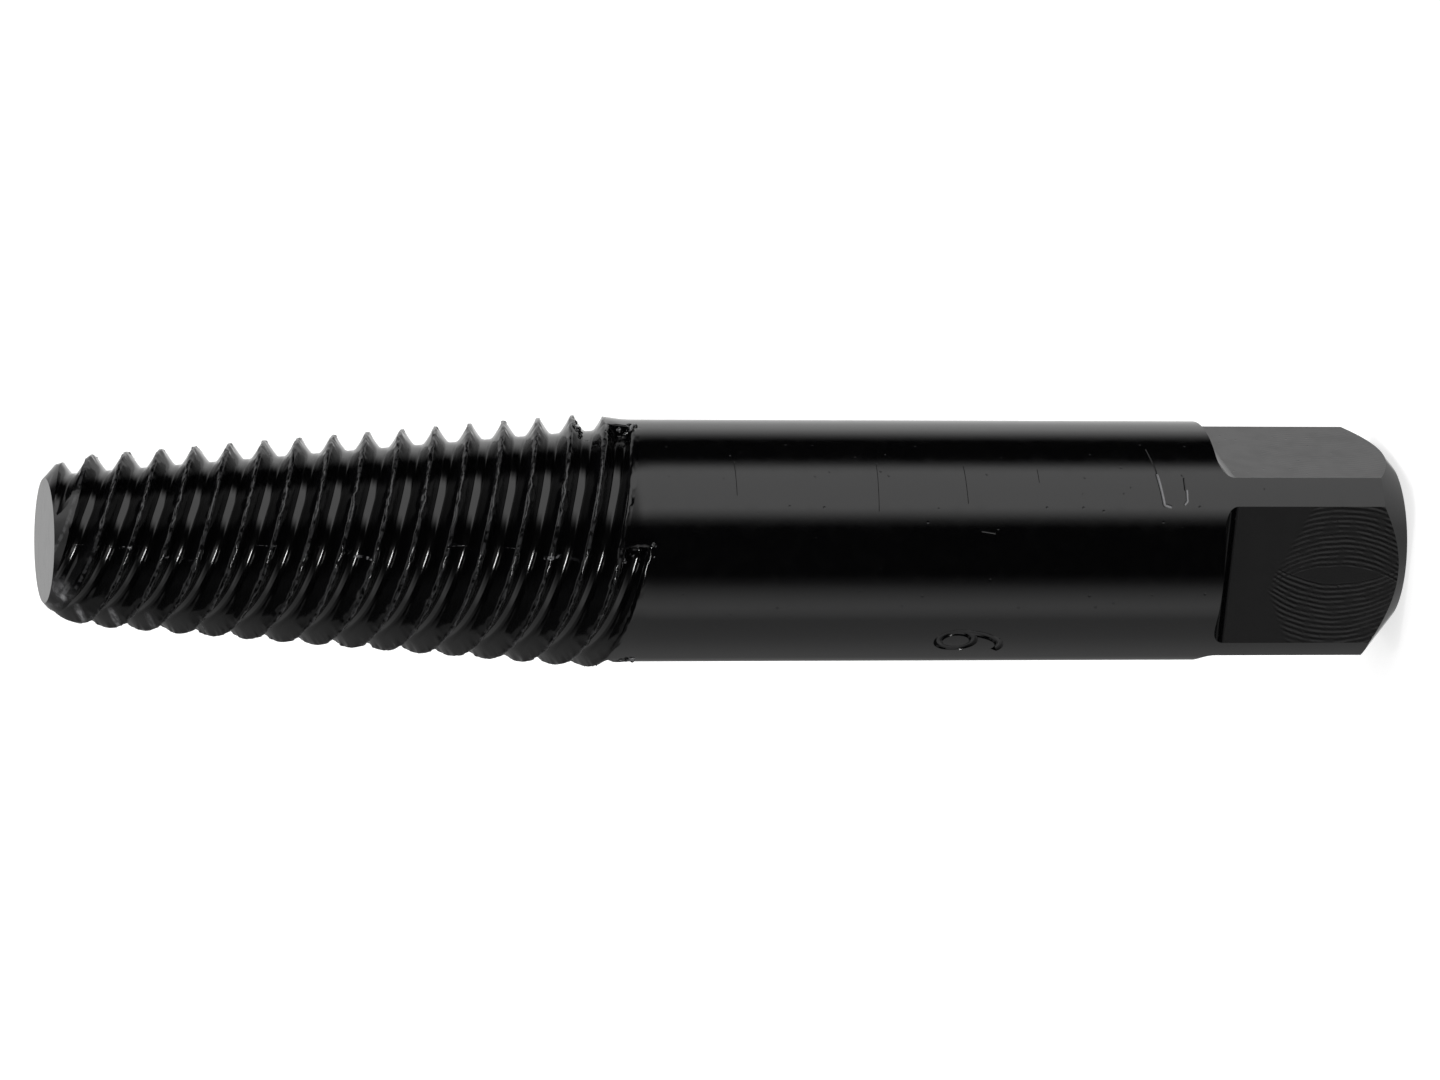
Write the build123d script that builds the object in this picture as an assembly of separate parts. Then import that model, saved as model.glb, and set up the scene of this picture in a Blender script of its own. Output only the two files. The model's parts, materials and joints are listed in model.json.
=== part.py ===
"""Screw extractor for drilled-out broken screws: a left-hand tapered spiral on a round shank with a driving square.

The tool is one piece of hardened steel. A blank is turned with a cone longer than the tool needs, a cutter follows
left-hand helices up that cone and leaves the flutes, the tip is faced and chamfered, and the driven end is milled
to a square. The tool stands on the end face of its square, with that face's centre at the origin, and its spiral
points up along +Z. The four flats face X and Y. All lengths are in millimetres and all angles in degrees.
"""
from build123d import *
import math
import os

# Lengths along the axis
SQUARE_LENGTH = 13.4       # end face to the shoulder where the flats stop
SHANK_LENGTH = 39.8        # shoulder to the middle of the flutes' blind ends
SPIRAL_LENGTH = 37.9       # middle of the flutes' blind ends to the tip face

# Shank and driving square
SHANK_DIAMETER = 16.0
ACROSS_FLATS = 12.7
FLAT_COUNT = 4
SHOULDER_FILLET = 1.0      # left by the rounded corner of the cutter that milled the flats
END_FACE_DIAMETER = 10.9
END_CHAMFER_LENGTH = 2.25  # along the axis, from the end face to the corners of the square

# Spiral
FLUTE_COUNT = 5
LEAD = 11.43               # rise of one flute in a full turn
FLANK_ANGLE = 56.0         # between a flank and the axis, in a cut along the axis
FOOT_ANGLE = 37.0          # the same below the flanks, where they ease into the root
FOOT_WIDTH = 1.3           # of the eased root between two flanks, along the axis
CREST_LAND = 0.12          # of the land that is left on each crest, along the axis
FLUTE_AZIMUTH = -71.8      # of one blind end, counted from the flat that faces +X
LIP_RISE = 0.36            # how far the highest crests stand proud of the shank
LIP_HEIGHT = 1.8           # middle of the blind ends up to the highest crests
LIP_FOOT = 0.6             # middle of the blind ends down to where the shank starts to swell
TIP_CREST_DIAMETER = 10.7  # of the crest cone, taken at the tip face before the chamfer
TIP_FACE_DIAMETER = 8.16
TIP_CHAMFER_ANGLE = 48.0   # between the chamfer and the axis

OVERRUN = 1.0              # how far a cutter reaches past the material that it removes

shank_radius = SHANK_DIAMETER / 2
lip_radius = shank_radius + LIP_RISE
tip_face_radius = TIP_FACE_DIAMETER / 2
blind_height = SQUARE_LENGTH + SHANK_LENGTH
lip_height = blind_height + LIP_HEIGHT
tip_height = blind_height + SPIRAL_LENGTH
pitch = LEAD / FLUTE_COUNT
spare_length = pitch + OVERRUN
taper = math.atan((lip_radius - TIP_CREST_DIAMETER / 2) / (tip_height - lip_height))
flank_slope = math.tan(math.radians(FLANK_ANGLE))
foot_depth = FOOT_WIDTH / 2 * math.tan(math.radians(FOOT_ANGLE))
flute_depth = foot_depth + (pitch - CREST_LAND - FOOT_WIDTH) / 2 * flank_slope


def crest_radius(height):
    """Radius of the crest cone at a height."""
    return lip_radius - (height - lip_height) * math.tan(taper)


def turned(*outline):
    """A solid turned about the axis from the radius and height of each corner of its half outline."""
    return revolve(Face(Wire(Polyline(*[(radius, 0, height) for radius, height in outline], close=True).edges())),
                   Axis.Z)


def blank():
    """The turned blank: chamfered driven end, shank, swollen lip, and a crest cone with length to spare."""
    top = tip_height + 2 * spare_length
    return turned(
        (0, 0),
        (END_FACE_DIAMETER / 2, 0),
        (shank_radius, END_CHAMFER_LENGTH),
        (shank_radius, blind_height - LIP_FOOT),
        (lip_radius, lip_height),
        (crest_radius(top), top),
        (0, top),
    )


def flute_cutter():
    """What one flute clears: an eased V that climbs the cone, left-handed, to well past the tip face."""
    crest = crest_radius(blind_height)
    root = crest - flute_depth
    foot = root + foot_depth
    brim = crest + OVERRUN
    brim_offset = FOOT_WIDTH / 2 + (brim - foot) / flank_slope
    profile = Polyline(
        (root, 0, blind_height),
        (foot, 0, blind_height + FOOT_WIDTH / 2),
        (brim, 0, blind_height + brim_offset),
        (brim, 0, blind_height - brim_offset),
        (foot, 0, blind_height - FOOT_WIDTH / 2),
        close=True,
    )
    path = Helix(LEAD / math.cos(taper), SPIRAL_LENGTH + spare_length, root, center=(0, 0, blind_height),
                 cone_angle=-math.degrees(taper), lefthand=True)
    return sweep(Face(Wire(profile.edges())), path=path, is_frenet=True)


def tip_cutter():
    """What facing and chamfering the tip clears."""
    reach = 2 * lip_radius
    top = tip_height + 2 * spare_length + OVERRUN
    drop = (reach - tip_face_radius) / math.tan(math.radians(TIP_CHAMFER_ANGLE))
    return turned((0, tip_height), (tip_face_radius, tip_height), (reach, tip_height - drop), (reach, top), (0, top))


def flat_cutter():
    """The block that mills the flat facing +X, with a rounded corner that leaves the fillet at the shoulder."""
    block = Box(SHANK_DIAMETER, 2 * SHANK_DIAMETER, SQUARE_LENGTH + OVERRUN,
                align=(Align.MIN, Align.CENTER, Align.MAX))
    corner = block.edges().filter_by(Axis.Y).group_by(Axis.Z)[-1].sort_by(Axis.X)[0]
    return Pos(ACROSS_FLATS / 2, 0, SQUARE_LENGTH) * fillet(corner, SHOULDER_FILLET)


def screw_extractor():
    """The whole tool as one solid."""
    body = blank()
    flute = flute_cutter()
    for index in range(FLUTE_COUNT):
        body -= Rot(0, 0, FLUTE_AZIMUTH + index * 360 / FLUTE_COUNT) * flute
    body -= tip_cutter()
    flat = flat_cutter()
    for index in range(FLAT_COUNT):
        body -= Rot(0, 0, index * 360 / FLAT_COUNT) * flat
    return body


os.makedirs("parts", exist_ok=True)
extractor = screw_extractor()
extractor.label = "screw_extractor"
export_step(extractor, "parts/screw_extractor.step")
print(f"volume {extractor.volume:.1f} mm3, flute depth {flute_depth:.2f} mm, taper {math.degrees(taper):.2f} degrees")
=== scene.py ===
"""Looks of a screw extractor: a left-hand tapered spiral, a turned shank and a milled square, in black oxide.

The tool is one piece of steel, so it is one finished piece here too. Its spiral is worked out by a rule in
Geometry Nodes, its driving end is turned and milled from the same sizes, and both are welded where they
meet on the shank. Sizes are in millimetres and angles in degrees until a mesh is made, which is in metres.
"""
import json
import logging
import math
from dataclasses import dataclass, field
from enum import Enum

import bmesh
import bpy
from mathutils import Matrix, Vector

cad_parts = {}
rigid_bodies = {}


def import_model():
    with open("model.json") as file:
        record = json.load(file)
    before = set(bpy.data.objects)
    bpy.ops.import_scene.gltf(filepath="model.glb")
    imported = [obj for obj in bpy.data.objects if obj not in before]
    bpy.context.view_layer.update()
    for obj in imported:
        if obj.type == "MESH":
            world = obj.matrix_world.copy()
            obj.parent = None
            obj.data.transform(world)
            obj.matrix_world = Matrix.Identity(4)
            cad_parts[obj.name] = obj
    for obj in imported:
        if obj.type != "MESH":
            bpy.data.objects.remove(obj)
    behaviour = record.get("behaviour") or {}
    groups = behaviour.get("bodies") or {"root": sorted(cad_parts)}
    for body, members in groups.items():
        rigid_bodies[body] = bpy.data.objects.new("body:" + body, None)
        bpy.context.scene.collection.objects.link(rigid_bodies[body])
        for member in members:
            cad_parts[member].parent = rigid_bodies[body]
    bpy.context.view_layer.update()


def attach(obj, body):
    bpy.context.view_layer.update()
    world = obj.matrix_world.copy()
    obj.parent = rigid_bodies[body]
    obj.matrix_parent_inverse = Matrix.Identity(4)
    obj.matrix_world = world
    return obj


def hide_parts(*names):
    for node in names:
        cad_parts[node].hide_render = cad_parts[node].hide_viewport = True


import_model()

log = logging.getLogger("screw_extractor")
MM = 0.001
WELD = 2e-6  # corners nearer than this, in metres, are one
TOUCH = 1e-6  # points nearer than this touch
NUDGE = 1e-5  # keeps a quotient that should be whole from falling short of it
EDGE_ANGLE = 25.0  # edges sharper than this, in degrees, are broken
NODE = "screw_extractor"
BODY = "root"
Colour = tuple[float, float, float, float]


def srgb(text: str) -> Colour:
    """Turns an sRGB hex colour such as "1a1a1c" to the linear colour that a shader takes.

    Args:
        text: Six hex digits.

    Returns:
        Linear red, green and blue, and an alpha of 1.
    """
    parts = [int(text[at:at + 2], 16) / 255 for at in (0, 2, 4)]
    return (*(part / 12.92 if part <= 0.04045 else ((part + 0.055) / 1.055) ** 2.4 for part in parts), 1.0)


def add(tree: bpy.types.NodeTree, kind: str, inputs: dict | None = None, **settings) -> bpy.types.Node:
    """Adds one node with its settings and links.

    Args:
        tree: The tree that the node goes in.
        kind: The node's type.
        inputs: For each input, by name or number, a value, a socket or a Field that it takes.
        settings: The node's own properties.

    Returns:
        The new node.
    """
    node = tree.nodes.new(kind)
    for name, value in settings.items():
        setattr(node, name, value)
    for key, value in (inputs or {}).items():
        source = value.socket if isinstance(value, Field) else value
        if isinstance(source, bpy.types.NodeSocket):
            tree.links.new(source, node.inputs[key])
        else:
            node.inputs[key].default_value = source
    return node


def emptied(owner: "bpy.types.Material | bpy.types.World") -> bpy.types.NodeTree:
    """Turns on the nodes of a material or a world and clears them.

    Args:
        owner: The material or the world.

    Returns:
        Its node tree, with nothing in it.
    """
    owner.use_nodes = True
    owner.node_tree.nodes.clear()
    return owner.node_tree


def polar(radius: float, turn: float, height: float) -> tuple[float, float, float]:
    """A place in metres, from its distance from the axis, its azimuth in radians and its height."""
    return radius * math.cos(turn) * MM, radius * math.sin(turn) * MM, height * MM


class Rule(Enum):
    """How fields are reckoned with. RAMP rises smoothly from 0 at its first bound to 1 at its second."""

    ADD = "ADD"
    SUBTRACT = "SUBTRACT"
    MULTIPLY = "MULTIPLY"
    DIVIDE = "DIVIDE"
    ABSOLUTE = "ABSOLUTE"
    SIGN = "SIGN"
    SQRT = "SQRT"
    ROUND = "ROUND"
    FLOOR = "FLOOR"
    MINIMUM = "MINIMUM"
    MAXIMUM = "MAXIMUM"
    SMOOTH_MIN = "SMOOTH_MIN"
    SMOOTH_MAX = "SMOOTH_MAX"
    LESS_THAN = "LESS_THAN"
    GREATER_THAN = "GREATER_THAN"
    SINE = "SINE"
    COSINE = "COSINE"
    ARCTAN2 = "ARCTAN2"
    RAMP = "SMOOTHSTEP"

    @property
    def node(self) -> tuple[str, dict[str, str]]:
        """The node that works the rule out.

        Returns:
            The node's type, and the setting that tells it which rule.
        """
        if self is Rule.RAMP:
            return "ShaderNodeMapRange", {"interpolation_type": self.value}
        return "ShaderNodeMath", {"operation": self.value}


@dataclass(frozen=True)
class Field:
    """A number that varies over a surface: an output socket that can be reckoned with."""

    tree: bpy.types.NodeTree
    socket: bpy.types.NodeSocket

    def by(self, rule: Rule, *others: "Field | float") -> "Field":
        """Works out a rule of this field and up to two others.

        Args:
            rule: The rule.
            others: What else it takes, in order.

        Returns:
            The result.
        """
        kind, settings = rule.node
        node = add(self.tree, kind, dict(enumerate((self, *others))), **settings)
        return Field(self.tree, node.outputs[0])

    def __add__(self, other: "Field | float") -> "Field":
        """This field plus another."""
        return self.by(Rule.ADD, other)

    def __sub__(self, other: "Field | float") -> "Field":
        """This field less another."""
        return self.by(Rule.SUBTRACT, other)

    def __mul__(self, other: "Field | float") -> "Field":
        """This field times another."""
        return self.by(Rule.MULTIPLY, other)

    def __truediv__(self, other: "Field | float") -> "Field":
        """This field divided by another."""
        return self.by(Rule.DIVIDE, other)


class Blend(Enum):
    """How one edge meets another: the width in millimetres over which they are blended."""

    CREST = 0.075
    LIP = 0.12


@dataclass(frozen=True)
class ToolSize:
    """The driving sizes of the tool, in millimetres and degrees."""

    square_length: float = 13.4
    shank_length: float = 39.8
    spiral_length: float = 37.9
    shank_radius: float = 8.0
    across_flats: float = 12.7
    shoulder_fillet: float = 1.0
    end_face_radius: float = 5.45
    end_chamfer_length: float = 2.25
    lead: float = 11.43
    flute_count: int = 5
    flute_depth: float = 1.13
    flute_azimuth: float = -71.8
    lip_rise: float = 0.36
    lip_height: float = 1.8
    lip_foot: float = 0.6
    tip_crest_radius: float = 5.35
    tip_face_radius: float = 4.08
    tip_chamfer_angle: float = 48.0
    tip_lead_drop: float = 0.8
    tip_lead_angle: float = 17.0

    @property
    def blind_height(self) -> float:
        """Height of the middle of the flutes' blind ends."""
        return self.square_length + self.shank_length

    @property
    def tip_height(self) -> float:
        """Height of the tip face."""
        return self.blind_height + self.spiral_length

    @property
    def pitch(self) -> float:
        """Spacing of the crests along the axis."""
        return self.lead / self.flute_count

    @property
    def lip_radius(self) -> float:
        """Radius of the highest crests."""
        return self.shank_radius + self.lip_rise

    @property
    def taper_slope(self) -> float:
        """How much the crests come in for each millimetre up."""
        climb = self.spiral_length - self.lip_height
        return (self.lip_radius - self.tip_crest_radius) / climb

    @property
    def chamfer_slope(self) -> float:
        """How much the tip's chamfer goes out for each millimetre down."""
        return math.tan(math.radians(self.tip_chamfer_angle))

    @property
    def lead_slope(self) -> float:
        """The same for the longer, gentler chamfer below it."""
        return math.tan(math.radians(self.tip_lead_angle))

    @property
    def knee_radius(self) -> float:
        """Radius at which the two chamfers meet."""
        return self.tip_face_radius + self.tip_lead_drop * self.chamfer_slope


@dataclass
class Spiral:
    """The fluted cone: columns about the axis and rows that climb with the crests, pushed out by a rule."""

    size: ToolSize
    join_height: float
    columns_per_flute: int = 48
    rows_per_pitch: int = 16
    wall_angle: float = 1.2
    wall_columns: int = 6
    row_crowding: float = 0.5
    flank_slope: float = 1.65
    root_half_width: float = 0.25
    root_easing: float = 0.25
    raggedness: float = 0.38
    tearing: float = 0.26
    torn_angle: float = 7.0
    snap: float = 0.01
    swell_blend: float = 0.15
    jag_scale: float = 1.9
    grit_scale: float = 4.2
    patch_scale: float = 1.4
    torn_from: float = 0.3
    seed: float = 4.0
    name: str = "left_hand_spiral"

    @property
    def columns(self) -> int:
        """Columns in a full turn."""
        return self.size.flute_count * self.columns_per_flute

    def column_angle(self, column: int) -> float:
        """Azimuth of one column, in degrees: columns crowd behind the wall of each blind end.

        Args:
            column: The column's number, counted clockwise from the first blind end.

        Returns:
            The column's azimuth.
        """
        flute, step = divmod(column, self.columns_per_flute)
        share = step / self.columns_per_flute
        sector = 360 / self.size.flute_count
        crowd, spread = self.crowding()
        turned = sector * (flute + max(crowd * share, 1 - spread * (1 - share)))
        return self.size.flute_azimuth - turned

    def crowding(self) -> tuple[float, float]:
        """Slopes of the two stretches of columns in a sector: the crowded one and the even one.

        Returns:
            The two slopes.
        """
        sector = 360 / self.size.flute_count
        crowded_share = self.wall_columns / self.columns_per_flute
        crowded_angle = self.wall_angle / sector
        return crowded_angle / crowded_share, (1 - crowded_angle) / (1 - crowded_share)

    def inputs(self, finish: bpy.types.Material, torn: bpy.types.Material) -> dict[str, object]:
        """Names and values of the tree's inputs.

        Args:
            finish: The material of the net.
            torn: The material of the torn steel in the blind ends.

        Returns:
            The value of each named input.
        """
        size = self.size
        crowd, spread = self.crowding()
        rows_below = math.ceil((size.blind_height - self.join_height + size.lead) / size.pitch)
        rows_above = math.ceil(size.spiral_length / size.pitch)
        return {
            "Columns": self.columns + 1,
            "Rows": (rows_below + rows_above) * self.rows_per_pitch + 1,
            "Columns per flute": float(self.columns_per_flute),
            "Rows per pitch": float(self.rows_per_pitch),
            "Pitches below": float(rows_below),
            "Crowded slope": crowd,
            "Even slope": spread,
            "Row crowding": self.row_crowding,
            "Sector": 360 / size.flute_count,
            "First azimuth": size.flute_azimuth,
            "Pitch": size.pitch,
            "Lead": size.lead,
            "Join height": self.join_height,
            "Blind height": size.blind_height,
            "Tip height": size.tip_height,
            "Wall angle": self.wall_angle,
            "Shank radius": size.shank_radius,
            "Lip radius": size.lip_radius,
            "Lip foot": size.blind_height - size.lip_foot,
            "Lip height": size.blind_height + size.lip_height,
            "Taper slope": size.taper_slope,
            "Flute depth": size.flute_depth,
            "Flank slope": self.flank_slope,
            "Root half width": self.root_half_width,
            "Root easing": self.root_easing,
            "Raggedness": self.raggedness,
            "Tearing": self.tearing,
            "Torn angle": self.torn_angle,
            "Seed": self.seed,
            "Finish": finish,
            "Torn finish": torn,
        }

    def tree(self, values: dict[str, object]) -> bpy.types.NodeTree:
        """Builds the node tree that makes the net.

        Args:
            values: The inputs that it takes, which give its sockets their kinds.

        Returns:
            The geometry node tree.
        """
        tree, given = planted(self.name, values)

        net = add(tree, "GeometryNodeMeshGrid", {"Size X": 1.0, "Size Y": 1.0, "Vertices X": given["Columns"],
                                                 "Vertices Y": given["Rows"]})
        index = Field(tree, add(tree, "GeometryNodeInputIndex").outputs[0])
        column = (index / given["Rows"] + NUDGE).by(Rule.FLOOR)
        row = index - column * given["Rows"]

        flute = (column / given["Columns per flute"] + NUDGE).by(Rule.FLOOR)
        share = column / given["Columns per flute"] - flute
        even = (share - 1.0) * given["Even slope"] + 1.0
        turned = (flute + (share * given["Crowded slope"]).by(Rule.MAXIMUM, even)) * given["Sector"]

        step = row / given["Rows per pitch"]
        crowding = (step * (4 * math.pi)).by(Rule.SINE) * given["Row crowding"] / (4 * math.pi)
        wound = given["Blind height"] + turned / 360.0 * given["Lead"]
        height = wound + (step - crowding - given["Pitches below"]) * given["Pitch"]
        above = height.by(Rule.GREATER_THAN, given["Join height"] + self.snap)
        height = given["Join height"] + (height - given["Join height"]) * above
        below = height.by(Rule.LESS_THAN, given["Tip height"] - self.snap)
        height = given["Tip height"] + (height - given["Tip height"]) * below
        climbed = (height - wound) / given["Pitch"]
        flute_number = climbed.by(Rule.ROUND)
        offset = (climbed - flute_number) * given["Pitch"]

        cone = given["Lip radius"] - (height - given["Lip height"]) * given["Taper slope"]
        lip_climb = given["Lip height"] - given["Lip foot"]
        swell_slope = (given["Lip radius"] - given["Shank radius"]) / lip_climb
        swell = ((height - given["Lip foot"]) * swell_slope).by(Rule.SMOOTH_MAX, 0.0, self.swell_blend)
        skin = cone.by(Rule.SMOOTH_MIN, given["Shank radius"] + swell, Blend.LIP.value)
        beside_root = (offset.by(Rule.ABSOLUTE) - given["Root half width"]).by(Rule.MAXIMUM, 0.0)
        slant = beside_root * given["Flank slope"]
        easing = given["Root easing"]
        eased = (slant * slant + easing * easing).by(Rule.SQRT) - easing
        groove = cone - given["Flute depth"] + eased
        run = flute_number * given["Sector"] + turned
        opened = run.by(Rule.RAMP, 0.0, given["Wall angle"])
        cut = skin.by(Rule.SMOOTH_MIN, groove, Blend.CREST.value)
        radius = skin + (cut - skin) * opened

        angle = (given["First azimuth"] - turned) * (math.pi / 180)
        cosine, sine = angle.by(Rule.COSINE), angle.by(Rule.SINE)
        here = add(tree, "ShaderNodeCombineXYZ", {0: cosine * radius, 1: sine * radius, 2: height}).outputs[0]
        rough = [add(tree, "ShaderNodeTexNoise", {"Vector": here, "W": given["Seed"] + shift,
                                                  "Scale": self.jag_scale, "Detail": 2.5},
                     noise_dimensions="4D") for shift in (0.0, 9.0)]
        below_tip = (given["Tip height"] - height).by(Rule.RAMP, 0.2, 1.0)
        crest = (radius - skin).by(Rule.RAMP, -0.34, -0.02) * opened * below_tip
        jag, lean = [(Field(tree, noise.outputs[0]) - 0.5) * given["Raggedness"] * crest for noise in rough]
        grit, patchy = [Field(tree, add(tree, "ShaderNodeTexNoise", {"Vector": here, "Scale": scale,
                                                                     "Detail": detail}).outputs[0])
                        for scale, detail in ((self.grit_scale, 3.0), (self.patch_scale, 1.0))]
        near_wall = run.by(Rule.RAMP, given["Torn angle"], 1.0) * run.by(Rule.RAMP, -2.2, -0.4)
        torn = near_wall * patchy.by(Rule.RAMP, 0.42, 0.56)
        torn = torn * offset.by(Rule.ABSOLUTE).by(Rule.RAMP, self.size.pitch * 0.5, self.size.pitch * 0.3)
        radius = radius + (jag * 0.7 + (grit - 0.62) * given["Tearing"] * 2.4 * torn).by(Rule.MINIMUM, 0.0)
        height = height + lean * 1.5
        point = add(tree, "ShaderNodeCombineXYZ", {0: cosine * radius * MM, 1: sine * radius * MM,
                                                   2: height * MM})

        placed = add(tree, "GeometryNodeSetPosition", {"Geometry": net.outputs["Mesh"],
                                                       "Position": point.outputs[0]})
        merged = add(tree, "GeometryNodeMergeByDistance", {"Geometry": placed.outputs[0], "Distance": WELD})
        smooth = add(tree, "GeometryNodeSetShadeSmooth", {"Geometry": merged.outputs[0],
                                                          "Shade Smooth": True})
        real = add(tree, "GeometryNodeRealizeInstances", {"Geometry": smooth.outputs[0]})
        dressed = add(tree, "GeometryNodeSetMaterial", {"Geometry": real.outputs[0],
                                                        "Material": given["Finish"]})
        is_torn = torn.by(Rule.GREATER_THAN, self.torn_from)
        dressed = add(tree, "GeometryNodeSetMaterial", {"Geometry": dressed.outputs[0], "Selection": is_torn,
                                                        "Material": given["Torn finish"]})
        add(tree, "NodeGroupOutput", {0: dressed.outputs[0]})
        return tree

    def build(self, finish: bpy.types.Material, torn: bpy.types.Material) -> bpy.types.Mesh:
        """Makes the net's mesh.

        Args:
            finish: The material of the net.
            torn: The material of the torn steel in the blind ends.

        Returns:
            The mesh, open at the join and at the tip.
        """
        values = self.inputs(finish, torn)
        return grown(self.name, self.tree(values), values)


def planted(name: str, values: dict[str, object]) -> tuple[bpy.types.NodeTree, dict[str, Field]]:
    """Starts a geometry node tree with its named inputs and its one output.

    Args:
        name: Name of the tree.
        values: The value of each input, which gives its socket its kind.

    Returns:
        The tree, and its inputs by name.
    """
    tree = bpy.data.node_groups.new(name, "GeometryNodeTree")
    kinds = {int: "NodeSocketInt", float: "NodeSocketFloat", bpy.types.Material: "NodeSocketMaterial"}
    for label, value in values.items():
        tree.interface.new_socket(label, in_out="INPUT", socket_type=kinds[type(value)])
    tree.interface.new_socket("Geometry", in_out="OUTPUT", socket_type="NodeSocketGeometry")
    group = add(tree, "NodeGroupInput")
    return tree, {label: Field(tree, group.outputs[label]) for label in values}


def grown(name: str, tree: bpy.types.NodeTree, values: dict[str, object]) -> bpy.types.Mesh:
    """Runs a geometry node tree on an empty object and keeps what it makes as a plain mesh.

    Args:
        name: Name of the mesh.
        tree: The node tree.
        values: The value of each of its named inputs.

    Returns:
        The mesh that the tree makes.
    """
    seedling = bpy.data.objects.new(name, bpy.data.meshes.new(name))
    bpy.context.scene.collection.objects.link(seedling)
    modifier = seedling.modifiers.new(name, "NODES")
    modifier.node_group = tree
    for socket in tree.interface.items_tree:
        if socket.in_out == "INPUT":
            modifier[socket.identifier] = values[socket.name]
    mesh = applied(seedling)
    bpy.data.objects.remove(seedling)
    return mesh


def applied(thing: bpy.types.Object) -> bpy.types.Mesh:
    """The plain mesh of an object with all its modifiers applied."""
    graph = bpy.context.evaluated_depsgraph_get()
    return bpy.data.meshes.new_from_object(thing.evaluated_get(graph), depsgraph=graph)


class Solver(Enum):
    """How a mesh is cut: exactly, where cutters cross themselves, or fast, where all is closed and clean."""

    EXACT = "EXACT"
    QUICK = "MANIFOLD"


def cut(blank: bpy.types.Mesh, cutters: list[bpy.types.Mesh], solver: Solver,
        edge_break: float = 0.0) -> bpy.types.Mesh:
    """Cuts a mesh with others and breaks its sharp edges.

    Args:
        blank: The mesh to be cut.
        cutters: The closed meshes to cut it with.
        solver: How it is cut.
        edge_break: Width in millimetres of the bevel on sharp edges, or 0 for none.

    Returns:
        The mesh that is left.
    """
    body = bpy.data.objects.new("blank", blank)
    things = [body] + [bpy.data.objects.new("cutter", mesh) for mesh in cutters]
    for thing in things:
        bpy.context.scene.collection.objects.link(thing)
    for tool in things[1:]:
        milling = body.modifiers.new("cut", "BOOLEAN")
        milling.operation = "DIFFERENCE"
        milling.solver = solver.value
        milling.use_self = solver is Solver.EXACT
        milling.object = tool
    if edge_break:
        bevel = body.modifiers.new("edge_break", "BEVEL")
        bevel.width = edge_break * MM
        bevel.segments = 2
        bevel.limit_method = "ANGLE"
        bevel.angle_limit = math.radians(EDGE_ANGLE)
        bevel.use_clamp_overlap = True
    mesh = applied(body)
    for thing in things:
        bpy.data.objects.remove(thing)
    return mesh


@dataclass
class StampedSix:
    """The size number 6, stamped lengthwise in the shank with its top toward the square."""

    size: ToolSize
    height: float = 30.0
    azimuth: float = -125.0
    length: float = 4.9
    width: float = 2.45
    stroke: float = 0.62
    depth: float = 0.14
    bowl_share: float = 0.56
    stem_share: float = 1.7
    stem_turn: float = 112.0
    steps: int = 40
    wire_steps: int = 10

    def strokes(self) -> list[list[tuple[float, float]]]:
        """Centre lines of the bowl and of the stem, each as points across and up the figure.

        Returns:
            The two lines.
        """
        across, up = (self.width - self.stroke) / 2, (self.length - self.stroke) / 2
        bowl_up = up * self.bowl_share
        bowl_middle = bowl_up - up
        stem_across, stem_up = across * self.stem_share, up - bowl_middle
        bowl = [(across * math.cos(turn), bowl_middle + bowl_up * math.sin(turn))
                for turn in (2 * math.pi * at / self.steps for at in range(self.steps + 1))]
        stem_turns = [math.pi - math.radians(self.stem_turn) * at / self.steps
                      for at in range(self.steps + 1)]
        stem = [(stem_across - across + stem_across * math.cos(turn), bowl_middle + stem_up * math.sin(turn))
                for turn in stem_turns]
        return [bowl, stem]

    def cutter(self) -> bpy.types.Mesh:
        """Makes the punch: a round wire that follows the figure just outside the shank's skin.

        Returns:
            The punch's mesh.
        """
        wire = self.stroke / 2
        reach = (wire ** 2 + self.depth ** 2) / (2 * self.depth)
        radius = self.size.shank_radius - self.depth + reach
        curve = bpy.data.curves.new("punch", "CURVE")
        curve.dimensions = "3D"
        curve.bevel_depth = reach * MM
        curve.bevel_resolution = self.wire_steps
        curve.use_fill_caps = True
        for points in self.strokes():
            closed = math.dist(points[0], points[-1]) < TOUCH
            kept = points[:-1] if closed else points
            line = curve.splines.new("POLY")
            line.points.add(len(kept) - 1)
            line.use_cyclic_u = closed
            for target, (across, up) in zip(line.points, kept):
                azimuth = math.radians(self.azimuth) - across / self.size.shank_radius
                target.co = (*polar(radius, azimuth, self.height - up), 1.0)
        return applied(bpy.data.objects.new("punch", curve))


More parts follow.
